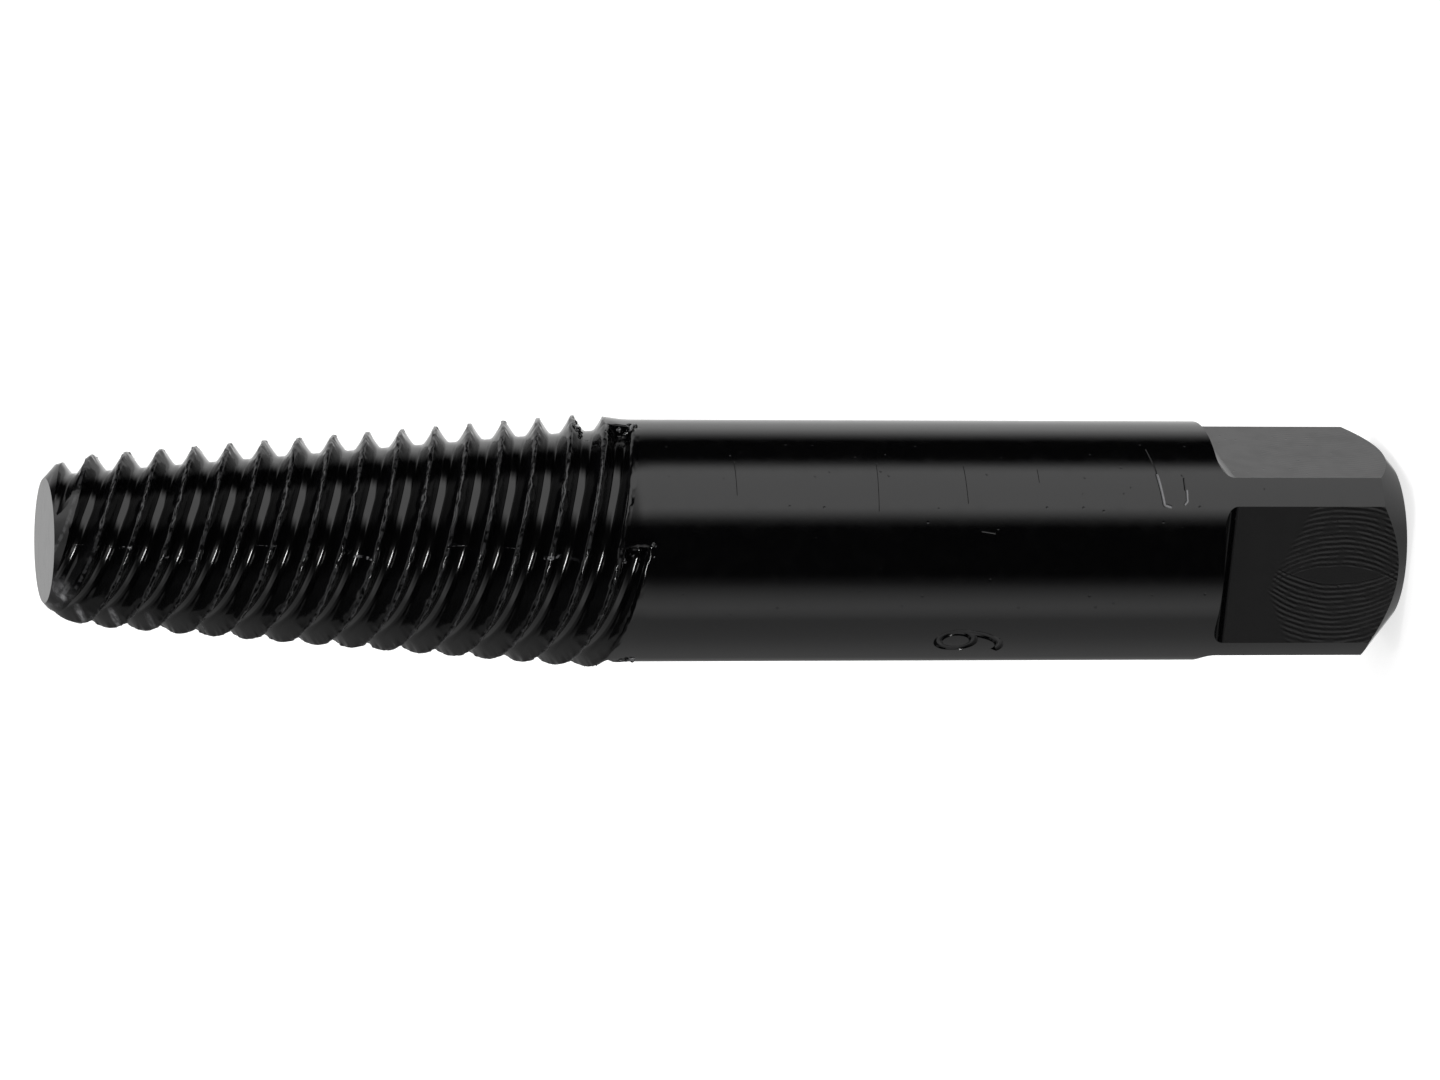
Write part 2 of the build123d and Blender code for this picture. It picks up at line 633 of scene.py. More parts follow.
@dataclass
class DrivingEnd:
    """The lower part of the tool: turned shank and milled square, up to where the spiral is welded on."""

    size: ToolSize
    spiral: Spiral
    edge_break: float = 0.09
    fillet_steps: int = 10
    ring_above_square: float = 4.0
    name: str = "driving_end"

    def turned_blank(self) -> bpy.types.Mesh:
        """Makes the closed blank before milling, with the spiral's own columns so that the two can be welded.

        Returns:
            The blank's mesh.
        """
        size = self.size
        neck_height = size.square_length + self.ring_above_square
        outline = [(size.end_face_radius, 0.0), (size.shank_radius, size.end_chamfer_length),
                   (size.shank_radius, neck_height), (size.shank_radius, self.spiral.join_height)]
        form = bmesh.new()
        rings = []
        for radius, height in outline:
            ring = []
            for column in range(self.spiral.columns):
                azimuth = math.radians(self.spiral.column_angle(column))
                ring.append(form.verts.new(polar(radius, azimuth, height)))
            rings.append(ring)
        for lower, upper in zip(rings, rings[1:]):
            for near, far in zip(range(-1, len(lower) - 1), range(len(lower))):
                form.faces.new((lower[near], upper[near], upper[far], lower[far]))
        form.faces.new(rings[0])
        form.faces.new(list(reversed(rings[-1])))
        return finished(form, "turned_blank")

    def flat_cutter(self, azimuth: float) -> bpy.types.Mesh:
        """Makes the block that mills one flat, with the rounded corner that leaves the shoulder's fillet.

        Args:
            azimuth: Which way the flat faces.

        Returns:
            The block's mesh.
        """
        size = self.size
        inner, outer = size.across_flats / 2, 2 * size.shank_radius
        fillet = size.shoulder_fillet
        section = [(outer, -fillet), (inner, -fillet)]
        for step in range(self.fillet_steps + 1):
            turn = math.radians(90) * step / self.fillet_steps
            section.append((inner + fillet * (1 - math.cos(turn)),
                            size.square_length - fillet * (1 - math.sin(turn))))
        section.append((outer, size.square_length))
        form = bmesh.new()
        ends = [[form.verts.new((x * MM, side * outer * MM, z * MM)) for x, z in section] for side in (-1, 1)]
        form.faces.new(ends[0])
        form.faces.new(list(reversed(ends[1])))
        for near, far in zip(range(-1, len(section) - 1), range(len(section))):
            form.faces.new((ends[0][near], ends[0][far], ends[1][far], ends[1][near]))
        facing = Matrix.Rotation(math.radians(azimuth), 3, "Z")
        bmesh.ops.rotate(form, verts=form.verts, cent=(0, 0, 0), matrix=facing)
        return finished(form, "flat_cutter")

    def build(self, figure: StampedSix) -> bpy.types.Mesh:
        """Turns, mills and stamps the driving end.

        Args:
            figure: The number that is stamped in the shank.

        Returns:
            The mesh, open at the top where the spiral is welded on.
        """
        flats = [self.flat_cutter(azimuth) for azimuth in (0, 90, 180, 270)]
        return cut(self.turned_blank(), [*flats, figure.cutter()], Solver.EXACT, self.edge_break)


@dataclass
class TipCutter:
    """The ring that turns the tip's two chamfers, so that their edges stay crisp across the crests."""

    size: ToolSize
    lead_length: float = 2.6
    steps: int = 96

    def build(self) -> bpy.types.Mesh:
        """Makes the ring, a closed solid outside the tip's outline, which reaches a millimetre above the tip.

        Returns:
            The ring's mesh.
        """
        size = self.size
        foot = size.knee_radius + self.lead_length * size.lead_slope
        knee_height = size.tip_height - size.tip_lead_drop
        foot_height = size.tip_height - size.tip_lead_drop - self.lead_length
        outline = [(size.tip_face_radius - size.chamfer_slope, size.tip_height + 1),
                   (size.knee_radius, knee_height), (foot, foot_height), (2 * foot, foot_height),
                   (2 * foot, size.tip_height + 1)]
        form = bmesh.new()
        turns = [2 * math.pi * at / self.steps for at in range(self.steps)]
        rings = [[form.verts.new(polar(radius, turn, height)) for turn in turns]
                 for radius, height in outline]
        for lower, upper in zip(rings, rings[1:] + rings[:1]):
            for near, far in zip(range(-1, self.steps - 1), range(self.steps)):
                form.faces.new((lower[near], lower[far], upper[far], upper[near]))
        return finished(form, "tip_cutter")


def finished(form: bmesh.types.BMesh, name: str) -> bpy.types.Mesh:
    """Closes a mesh under construction: doubles merged, faces outward, and the bmesh freed.

    Args:
        form: The mesh under construction.
        name: Name of the new mesh.

    Returns:
        The new mesh.
    """
    bmesh.ops.remove_doubles(form, verts=form.verts, dist=WELD)
    bmesh.ops.recalc_face_normals(form, faces=form.faces)
    mesh = bpy.data.meshes.new(name)
    form.to_mesh(mesh)
    form.free()
    return mesh


class Zone(Enum):
    """Where on the tool a face lies, as the number of the material slot that dresses it."""

    FLUTED = 0
    TURNED = 1
    MILLED = 2
    FACED = 3
    TORN = 4


@dataclass(frozen=True)
class BlackenedSteel:
    """Hardened tool steel with an oiled black oxide skin: near-black, and as glossy as wet paint."""

    name: str = "blackened tool steel, fluted and oiled"
    colour: str = "070708"
    roughness: float = 0.1
    haze: float = 0.06
    grain_mm: float = 0.4
    grain_depth: float = 0.0012
    pit_mm: float = 0.9
    pit_size: float = 0.12
    pit_depth: float = 0.01
    # Colour of bare steel, also used for the spiral's painted highlights and glints.
    bare_and_highlight_colour: str = "8c8c8e"

    def bare(self, tree: bpy.types.NodeTree, place: bpy.types.NodeSocket) -> Field | None:
        """How far the lighter bare-steel colour is mixed in, from 0 to 1, or None where there is none:
        rubbed-off oxide, and on the spiral also painted highlights.

        Args:
            tree: The material's node tree.
            place: Position on the tool in millimetres.

        Returns:
            The share of the bare-steel colour.
        """
        return None

    def relief(self, tree: bpy.types.NodeTree, place: bpy.types.NodeSocket) -> Field:
        """The skin's fine heights in millimetres: the oil's faint unevenness.

        Args:
            tree: The material's node tree.
            place: Position on the tool in millimetres.

        Returns:
            The height to be bumped.
        """
        grain = add(tree, "ShaderNodeTexNoise", {"Vector": place, "Scale": 1 / self.grain_mm, "Detail": 3.0})
        return Field(tree, grain.outputs[0]) * self.grain_depth

    def pits(self, tree: bpy.types.NodeTree, place: bpy.types.NodeSocket, share: float) -> Field:
        """Depth of the small pits and specks in the skin.

        Args:
            tree: The material's node tree.
            place: Position on the tool in millimetres.
            share: How many of the cells hold a pit, from 0 to 1.

        Returns:
            The depth in millimetres.
        """
        cells = add(tree, "ShaderNodeTexVoronoi", {"Vector": place, "Scale": 1 / self.pit_mm})
        chosen = Field(tree, add(tree, "ShaderNodeSeparateColor", {0: cells.outputs["Color"]}).outputs[0])
        hollow = Field(tree, cells.outputs["Distance"]).by(Rule.RAMP, self.pit_size, self.pit_size * 0.3)
        return hollow * chosen.by(Rule.RAMP, share + 0.05, share) * self.pit_depth

    def build(self) -> bpy.types.Material:
        """Makes the material: a dark dielectric skin over its own relief.

        Returns:
            The material.
        """
        material = bpy.data.materials.new(self.name)
        tree = emptied(material)
        metres = add(tree, "ShaderNodeTexCoord").outputs["Object"]
        place = add(tree, "ShaderNodeMapping", {"Vector": metres,
                                                "Scale": (1 / MM, 1 / MM, 1 / MM)}).outputs[0]
        cloud = add(tree, "ShaderNodeTexNoise", {"Vector": place, "Scale": 0.9, "Detail": 4.0})
        gloss = Field(tree, cloud.outputs[0]).by(Rule.RAMP, 0.35, 0.75) * self.haze + self.roughness
        bump = add(tree, "ShaderNodeBump", {"Height": self.relief(tree, place), "Strength": 1.0,
                                             "Distance": MM})
        shader = add(tree, "ShaderNodeBsdfPrincipled", {"Base Color": srgb(self.colour), "Metallic": 0.0,
                                                        "Roughness": gloss, "IOR": 1.5,
                                                        "Normal": bump.outputs[0]})
        # Mixes in the bare-steel colour: real wear on the shank and the torn steel, and on the spiral also
        # painted highlights and glints.
        bare = self.bare(tree, place)
        if bare is not None:
            colours = {0: bare, 6: srgb(self.colour), 7: srgb(self.bare_and_highlight_colour)}
            mixed = add(tree, "ShaderNodeMix", colours, data_type="RGBA")
            tree.links.new(mixed.outputs[2], shader.inputs["Base Color"])
        add(tree, "ShaderNodeOutputMaterial", {"Surface": shader.outputs[0]})
        return material


@dataclass(frozen=True)
class PaintedGlint:
    """A painted glint: a spot of bare-steel colour that stands in for light caught near the tip; azimuth in
    degrees, height and reach in millimetres.
    """

    azimuth: float
    height: float
    reach: float
    share: float


@dataclass(frozen=True)
class FlutedSkin(BlackenedSteel):
    """The same skin on the spiral, with bare-steel colour painted along the crests, partly as rubbed oxide
    and partly as painted highlight, and painted glints near the tip.
    """

    size: ToolSize = ToolSize()
    crest_width: float = 0.16
    # Crests lightened in colour: partly rubbed oxide, partly painted highlight.
    crest_wear_and_highlight: float = 0.14
    # Painted glints: spots of bare-steel colour near the tip that stand in for light caught by the last
    # crests and the tip's chamfer.
    painted_glints: tuple[PaintedGlint, ...] = (
        PaintedGlint(azimuth=-141.0, height=89.0, reach=0.55, share=0.9),
        PaintedGlint(azimuth=-143.0, height=86.7, reach=0.55, share=1.0),
        PaintedGlint(azimuth=-142.5, height=84.35, reach=0.5, share=0.5),
        PaintedGlint(azimuth=-113.0, height=90.65, reach=1.2, share=0.3),
        PaintedGlint(azimuth=-118.0, height=90.4, reach=0.45, share=0.8),
    )

    def bare(self, tree: bpy.types.NodeTree, place: bpy.types.NodeSocket) -> Field | None:
        """Bare-steel colour along the crests, partly rubbed oxide and partly painted highlight, and painted
        glints near the tip.

        Args:
            tree: The material's node tree.
            place: Position on the tool in millimetres.

        Returns:
            The share of the bare-steel colour, which here carries painted highlights too.
        """
        split = add(tree, "ShaderNodeSeparateXYZ", {0: place})
        x, y, z = (Field(tree, socket) for socket in split.outputs)
        size = self.size
        azimuth = y.by(Rule.ARCTAN2, x) * (180 / math.pi)
        wound = (azimuth * -1.0 + size.flute_azimuth) * (size.lead / 360) + size.blind_height
        climbed = (z - wound) / size.pitch
        off_crest = ((climbed - climbed.by(Rule.ROUND)).by(Rule.ABSOLUTE) * -1.0 + 0.5) * size.pitch
        grain = add(tree, "ShaderNodeTexNoise", {"Vector": place, "Scale": 2.4, "Detail": 3.0})
        patchy = Field(tree, grain.outputs[0]).by(Rule.RAMP, 0.38, 0.62)
        grown_out = z.by(Rule.RAMP, size.blind_height + size.pitch * 0.4,
                         size.blind_height + size.pitch * 0.6)
        # Lighter crest lines: partly rubbed oxide, partly painted highlight.
        on_crest = off_crest.by(Rule.RAMP, self.crest_width, self.crest_width * 0.3)
        share = on_crest * patchy * grown_out * self.crest_wear_and_highlight
        radius = (x * x + y * y).by(Rule.SQRT)
        # Painted glints near the tip, mixed in as bare-steel colour.
        for glint_spot in self.painted_glints:
            aside = (azimuth - glint_spot.azimuth) * radius * (math.pi / 180)
            above = z - glint_spot.height
            near = (aside * aside + above * above).by(Rule.SQRT)
            glint = near.by(Rule.RAMP, glint_spot.reach, glint_spot.reach * 0.2) * (patchy * 0.7 + 0.3)
            share = share.by(Rule.MAXIMUM, glint * glint_spot.share)
        return share


@dataclass(frozen=True)
class Scratch:
    """A scratch on the shank: a bent line through places, each an azimuth in degrees and a height in mm."""

    path: tuple[tuple[float, float], ...]
    width: float = 0.11
    depth: float = 0.03
    share: float = 0.0


@dataclass(frozen=True)
class TurnedSkin(BlackenedSteel):
    """The same skin on the lathe-turned shank: faint rings from the feed, pits in the oil, and scratches."""

    name: str = "blackened tool steel, turned"
    radius: float = ToolSize.shank_radius
    ring_mm: float = 0.55  # coarser than a lathe leaves them, so that they show
    ring_depth: float = 0.0004
    scratches: tuple[Scratch, ...] = (
        Scratch(((-20.0, 18.1), (-33.0, 17.8), (-39.0, 17.72))),
        Scratch(((-36.0, 17.75), (-41.0, 17.66), (-51.8, 17.5), (-52.8, 17.1)), width=0.3, share=1.0),
        Scratch(((-38.0, 15.95), (-44.0, 15.98)), width=0.16),
        Scratch(((-44.5, 15.86), (-50.0, 15.9), (-51.5, 16.08)), width=0.24, depth=0.02, share=1.0),
        Scratch(((-54.0, 52.8), (-62.5, 52.85)), width=0.14, share=0.35),
        Scratch(((-64.5, 30.1), (-65.5, 29.2)), width=0.1, depth=0.02),
        Scratch(((-29.0, 46.4), (-47.0, 46.5)), width=0.1, depth=0.012),
        Scratch(((-30.0, 36.8), (-55.0, 37.0)), width=0.1, depth=0.01),
        Scratch(((-31.0, 30.9), (-51.0, 30.9)), width=0.1, depth=0.012),
        Scratch(((-33.0, 25.9), (-40.0, 25.9)), width=0.1, depth=0.01),
    )

    def unrolled(self, tree: bpy.types.NodeTree, place: bpy.types.NodeSocket) -> tuple[Field, Field]:
        """Distance round the shank and height, both in millimetres."""
        x, y, z = (Field(tree, socket) for socket in add(tree, "ShaderNodeSeparateXYZ", {0: place}).outputs)
        return y.by(Rule.ARCTAN2, x) * self.radius, z

    def bare(self, tree: bpy.types.NodeTree, place: bpy.types.NodeSocket) -> Field | None:
        """Bare steel in the deeper scratches.

        Args:
            tree: The material's node tree.
            place: Position on the tool in millimetres.

        Returns:
            The share of bare steel.
        """
        across, up = self.unrolled(tree, place)
        share = None
        for scratch in (each for each in self.scratches if each.share):
            near = self.distance(across, up, scratch)
            line = near.by(Rule.RAMP, scratch.width * 0.4, scratch.width * 0.1) * scratch.share
            share = line if share is None else share.by(Rule.MAXIMUM, line)
        return share

    def distance(self, across: Field, up: Field, scratch: Scratch) -> Field:
        """How far a place lies from a scratch.

        Args:
            across: Distance round the shank in millimetres.
            up: Height in millimetres.
            scratch: The scratch.

        Returns:
            The distance in millimetres.
        """
        around = math.radians(self.radius)
        reach = None
        for (turn_a, up_a), (turn_b, up_b) in zip(scratch.path, scratch.path[1:]):
            way = Vector(((turn_b - turn_a) * around, up_b - up_a))
            from_across, from_up = across - turn_a * around, up - up_a
            along = (from_across * way.x + from_up * way.y) / way.length_squared
            along = along.by(Rule.MAXIMUM, 0.0).by(Rule.MINIMUM, 1.0)
            aside, above = from_across - along * way.x, from_up - along * way.y
            near = (aside * aside + above * above).by(Rule.SQRT)
            reach = near if reach is None else reach.by(Rule.MINIMUM, near)
        return reach

    def relief(self, tree: bpy.types.NodeTree, place: bpy.types.NodeSocket) -> Field:
        """Heights of the rings, the pits, the scratches and the oil.

        Args:
            tree: The material's node tree.
            place: Position on the tool in millimetres.

        Returns:
            The height to be bumped.
        """
        along = add(tree, "ShaderNodeMapping", {"Vector": place, "Scale": (0.02, 0.02, 1.0)})
        rings = add(tree, "ShaderNodeTexNoise", {"Vector": along.outputs[0], "Scale": 1 / self.ring_mm,
                                                 "Detail": 3.0})
        height = super().relief(tree, place) + Field(tree, rings.outputs[0]) * self.ring_depth
        height = height - self.pits(tree, place, 0.5)
        across, up = self.unrolled(tree, place)
        for scratch in self.scratches:
            groove = self.distance(across, up, scratch).by(Rule.RAMP, scratch.width / 2, 0.0)
            height = height - groove * scratch.depth
        return height


@dataclass(frozen=True)
class MilledFlat(BlackenedSteel):
    """The flats of the square: duller, with the arcs that a face mill leaves as it leads and trails."""

    name: str = "blackened tool steel, milled"
    colour: str = "121112"
    roughness: float = 0.3
    haze: float = 0.04
    arc_spacing: float = 0.36
    arc_radius: float = 8.2
    arc_depth: float = 0.011
    arc_height: float = 5.0
    eye_height: float = 10.0
    eye_across: float = -0.93
    lead_across: float = 0.71
    trail_across: float = -0.75
    edge_slope: float = 0.45
    side_flats: float = 0.12
    arc_drift: float = 0.22
    fade: float = 0.2

    def relief(self, tree: bpy.types.NodeTree, place: bpy.types.NodeSocket) -> Field:
        """Heights of the two families of arcs, which close like an eye where they meet.

        Args:
            tree: The material's node tree.
            place: Position on the tool in millimetres.

        Returns:
            The height to be bumped.
        """
        split = add(tree, "ShaderNodeSeparateXYZ", {0: place})
        x, y, z = (Field(tree, socket) for socket in split.outputs)
        sideways = (x.by(Rule.ABSOLUTE) - y.by(Rule.ABSOLUTE)).by(Rule.GREATER_THAN, 0.0)
        across = y * x.by(Rule.SIGN) * sideways - x * y.by(Rule.SIGN) * (sideways * -1.0 + 1.0)
        reach = z - self.arc_height
        chord = (reach * reach * -1.0 + self.arc_radius ** 2).by(Rule.MAXIMUM, 0.0)
        sag = chord.by(Rule.SQRT) - self.arc_radius
        grain = add(tree, "ShaderNodeTexNoise", {"Vector": place, "Scale": 1.1, "Detail": 4.0})
        wander = Field(tree, grain.outputs[0]).by(Rule.RAMP, 0.36, 0.58) * 0.85 + 0.15
        drift = add(tree, "ShaderNodeTexNoise", {"Vector": place, "Scale": 0.6, "Detail": 3.0})
        drift = (Field(tree, drift.outputs[0]) - 0.5) * self.arc_drift
        edge = (across - self.eye_across).by(Rule.ABSOLUTE) * -self.edge_slope + self.eye_height
        inside = (edge - z).by(Rule.RAMP, 0.0, 0.7)
        lead = across - sag + drift
        trail = across + sag + drift
        wave = 2 * math.pi / self.arc_spacing
        led = ((lead - self.lead_across) * wave).by(Rule.COSINE)
        led = led * lead.by(Rule.RAMP, self.lead_across - self.fade, self.lead_across)
        trailed = ((trail - self.trail_across) * wave).by(Rule.COSINE)
        trailed = trailed * trail.by(Rule.RAMP, self.trail_across + self.fade, self.trail_across)
        share = sideways * (self.side_flats - 1.0) + 1.0
        arcs = (led + trailed) * inside * wander * share * self.arc_depth
        return arcs + super().relief(tree, place) * 2.0 - self.pits(tree, place, 0.25)


@dataclass(frozen=True)
class FacedEnd(BlackenedSteel):
    """The tip and the driven end, faced on the lathe: a satin skin with rings about the axis."""

    name: str = "blackened tool steel, faced"
    roughness: float = 0.1
    ring_mm: float = 0.3  # coarser than real, so that they show
    ring_depth: float = 0.0006

    def relief(self, tree: bpy.types.NodeTree, place: bpy.types.NodeSocket) -> Field:
        """Heights of the facing rings and the oil.

        Args:
            tree: The material's node tree.
            place: Position on the tool in millimetres.

        Returns:
            The height to be bumped.
        """
        flat = add(tree, "ShaderNodeVectorMath", {0: place, 1: (1.0, 1.0, 0.0)}, operation="MULTIPLY")
        far = add(tree, "ShaderNodeVectorMath", {0: flat.outputs[0]}, operation="LENGTH")
        rings = add(tree, "ShaderNodeTexNoise", {"W": Field(tree, far.outputs["Value"]) / self.ring_mm,
                                                 "Scale": 1.0, "Detail": 2.0}, noise_dimensions="1D")
        return super().relief(tree, place) + Field(tree, rings.outputs[0]) * self.ring_depth


@dataclass(frozen=True)
class TornSteel(BlackenedSteel):
    """Steel torn by the cutter where it ran out in a blind end: dull and very rough."""

    name: str = "blackened tool steel, torn"
    roughness: float = 0.22
    tear_mm: float = 0.14
    tear_depth: float = 0.05
    patch_mm: float = 0.3
    patch_share: float = 0.9

    def bare(self, tree: bpy.types.NodeTree, place: bpy.types.NodeSocket) -> Field | None:
        """Patches of bare steel where the skin didn't take.

        Args:
            tree: The material's node tree.
            place: Position on the tool in millimetres.

        Returns:
            The share of bare steel.
        """
        patches = add(tree, "ShaderNodeTexNoise", {"Vector": place, "Scale": 1 / self.patch_mm,
                                                   "Detail": 2.0})
        return Field(tree, patches.outputs[0]).by(Rule.RAMP, 0.48, 0.62) * self.patch_share

    def relief(self, tree: bpy.types.NodeTree, place: bpy.types.NodeSocket) -> Field:
        """Heights of the torn steel."""
        torn = add(tree, "ShaderNodeTexNoise", {"Vector": place, "Scale": 1 / self.tear_mm, "Detail": 2.0})
        return Field(tree, torn.outputs[0]) * self.tear_depth


@dataclass
class Burrs:
    """Torn lumps of steel: thick in the blind end of each flute, and small along the crests."""

    spiral: Spiral
    lumps_per_end: int = 12
    lumps_on_crests: int = 300
    lumps_on_spot: int = 22
    end_size: tuple[float, float] = (0.08, 0.2)
    crest_size: tuple[float, float] = (0.035, 0.08)
    end_spread: float = 9.0
    end_overlap: float = 1.6
    end_sink: tuple[float, float] = (0.3, 0.66)
    crest_sink: float = 0.09
    crest_lift: float = 0.05
    bare_tip: float = 0.9
    spot_turns: tuple[float, float] = (-86.0, -68.0)
    spot_asides: tuple[float, float] = (-0.1, 0.85)
    spot_sink: float = 0.2
    spin_most: tuple[float, float, float] = (6.3, 6.3, 6.3)
    stretch_least: tuple[float, float, float] = (0.55, 0.55, 0.55)
    stretch_most: tuple[float, float, float] = (1.5, 1.2, 1.0)
    tear_mm: float = 0.16
    seed: int = 11
    name: str = "burrs"

    def inputs(self, finish: bpy.types.Material, torn: bpy.types.Material) -> dict[str, object]:
        """Names and values of the tree's inputs.

        Args:
            finish: The material of the lumps on the crests.
            torn: The material of the thick lumps.

        Returns:
            The value of each named input.
        """
        size = self.spiral.size
        return {
            "End lumps": self.lumps_per_end * size.flute_count,
            "Crest lumps": self.lumps_on_crests,
            "Spot lumps": self.lumps_on_spot,
            "Lumps per end": float(self.lumps_per_end),
            "Sector": 360 / size.flute_count,
            "First azimuth": size.flute_azimuth,
            "Pitch": size.pitch,
            "Lead": size.lead,
            "Blind height": size.blind_height,
            "Spiral length": size.spiral_length,
            "Lip radius": size.lip_radius,
            "Lip height": size.blind_height + size.lip_height,
            "Taper slope": size.taper_slope,
            "End small": self.end_size[0],
            "End large": self.end_size[1],
            "Crest small": self.crest_size[0],
            "Crest large": self.crest_size[1],
            "Seed": self.seed,
            "Finish": finish,
            "Torn finish": torn,
        }

    def tree(self, values: dict[str, object]) -> bpy.types.NodeTree:
        """Builds the node tree that scatters the lumps.

        Args:
            values: The inputs that it takes, which give its sockets their kinds.

        Returns:
            The geometry node tree.
        """
        tree, given = planted(self.name, values)

        draws = {
            "near wall": (1.0, 0.0, 1.0),
            "end rise": (2.0, -0.5, 0.5),
            "end sink": (3.0, *self.end_sink),
            "end scale": (4.0, given["End small"], given["End large"]),
            "run": (5.0, 0.0, 1.0),
            "crest turn": (6.0, 0.0, 360.0),
            "crest lift": (7.0, -self.crest_lift, self.crest_lift),
            "crest scale": (8.0, given["Crest small"], given["Crest large"]),
            "spot turn": (11.0, *self.spot_turns),
            "spot aside": (12.0, *self.spot_asides),
        }
        drawn = {}
        for name, (shift, low, high) in draws.items():
            node = add(tree, "FunctionNodeRandomValue", {2: low, 3: high, "Seed": given["Seed"] + shift})
            drawn[name] = Field(tree, node.outputs[1])
        near_wall, crest_turn = drawn["near wall"], drawn["crest turn"]
        spot_turn, spot_aside = drawn["spot turn"], drawn["spot aside"]

        index = Field(tree, add(tree, "GeometryNodeInputIndex").outputs[0])
        flute = (index / given["Lumps per end"]).by(Rule.FLOOR)
        end_turn = flute * given["Sector"] + near_wall * near_wall * self.end_spread - self.end_overlap
        end_height = given["Blind height"] + drawn["end rise"] * given["Pitch"]
        end_radius = given["Lip radius"] - drawn["end sink"]

        rank = (drawn["run"] * given["Spiral length"] / given["Pitch"]).by(Rule.FLOOR) + 0.5
        climb = crest_turn / 360.0 * given["Lead"]
        wound = rank * given["Pitch"] - given["Lead"] + climb
        crest_height = given["Blind height"] + wound.by(Rule.MAXIMUM, 0.5 * self.spiral.size.pitch)
        crest_height = crest_height + drawn["crest lift"]
        crest_radius = given["Lip radius"] - (crest_height - given["Lip height"]) * given["Taper slope"]
        crest_radius = crest_radius - self.crest_sink
        above_foot = (wound - given["Pitch"] * 0.5).by(Rule.GREATER_THAN, 0.0)
        kept = above_foot * (given["Spiral length"] - self.bare_tip - wound).by(Rule.GREATER_THAN, 0.0)

        spot_height = given["Blind height"] + spot_turn / 360.0 * given["Lead"] + given["Pitch"] * 2.5
        spot_radius = given["Lip radius"] - (spot_height - given["Lip height"]) * given["Taper slope"]
        spot_height = spot_height - spot_aside
        spot_radius = spot_radius - self.spot_sink - spot_aside.by(Rule.ABSOLUTE) * 0.9

        heaps = []
        for count, turned, height, radius, scale, keep, finish in (
                ("End lumps", end_turn, end_height, end_radius, "end scale", None, "Torn finish"),
                ("Spot lumps", spot_turn, spot_height, spot_radius, "end scale", None, "Torn finish"),
                ("Crest lumps", crest_turn, crest_height, crest_radius, "crest scale", kept, "Finish")):
            angle = (given["First azimuth"] - turned) * (math.pi / 180)
            point = add(tree, "ShaderNodeCombineXYZ", {0: angle.by(Rule.COSINE) * radius * MM,
                                                       1: angle.by(Rule.SINE) * radius * MM, 2: height * MM})
            points = add(tree, "GeometryNodePoints", {"Count": given[count], "Position": point.outputs[0]})
            ball = add(tree, "GeometryNodeMeshIcoSphere", {"Radius": MM, "Subdivisions": 2})
            lump = add(tree, "GeometryNodeSetMaterial", {"Geometry": ball.outputs["Mesh"],
                                                         "Material": given[finish]})
            spin = add(tree, "FunctionNodeRandomValue", {"Max": self.spin_most, "Seed": given["Seed"] + 9.0},
                       data_type="FLOAT_VECTOR")
            stretch = add(tree, "FunctionNodeRandomValue", {"Min": self.stretch_least,
                                                            "Max": self.stretch_most,
                                                            "Seed": given["Seed"] + 10.0},
                          data_type="FLOAT_VECTOR")
            sized = add(tree, "ShaderNodeVectorMath", {0: stretch.outputs[0], "Scale": drawn[scale]},
                        operation="SCALE")
            placed = add(tree, "GeometryNodeInstanceOnPoints", {"Points": points.outputs[0],
                                                                "Instance": lump.outputs[0],
                                                                "Rotation": spin.outputs[0],
                                                                "Scale": sized.outputs[0]})
            if keep is not None:
                tree.links.new(keep.socket, placed.inputs["Selection"])
            heaps.append(placed)
        heap = add(tree, "GeometryNodeJoinGeometry")
        for placed in heaps:
            tree.links.new(placed.outputs[0], heap.inputs[0])
        real = add(tree, "GeometryNodeRealizeInstances", {"Geometry": heap.outputs[0]})
        here = add(tree, "GeometryNodeInputPosition")
        torn = add(tree, "ShaderNodeTexNoise", {"Vector": here.outputs[0], "Scale": 1 / (self.tear_mm * MM),
                                                "Detail": 1.0})
        centred = add(tree, "ShaderNodeVectorMath", {0: torn.outputs["Color"], 1: (0.5, 0.5, 0.5)},
                      operation="SUBTRACT")
        push = add(tree, "ShaderNodeVectorMath", {0: centred.outputs[0], "Scale": self.tear_mm * MM},
                   operation="SCALE")
        moved = add(tree, "GeometryNodeSetPosition", {"Geometry": real.outputs[0], "Offset": push.outputs[0]})
        smooth = add(tree, "GeometryNodeSetShadeSmooth", {"Geometry": moved.outputs[0], "Shade Smooth": True})
        add(tree, "NodeGroupOutput", {0: smooth.outputs[0]})
        return tree

    def build(self, finish: bpy.types.Material, torn: bpy.types.Material) -> bpy.types.Mesh:
        """Makes the lumps' mesh.

        Args:
            finish: The material of the lumps on the crests.
            torn: The material of the thick lumps.

        Returns:
            The mesh of all the lumps.
        """
        values = self.inputs(finish, torn)
        return grown(self.name, self.tree(values), values)


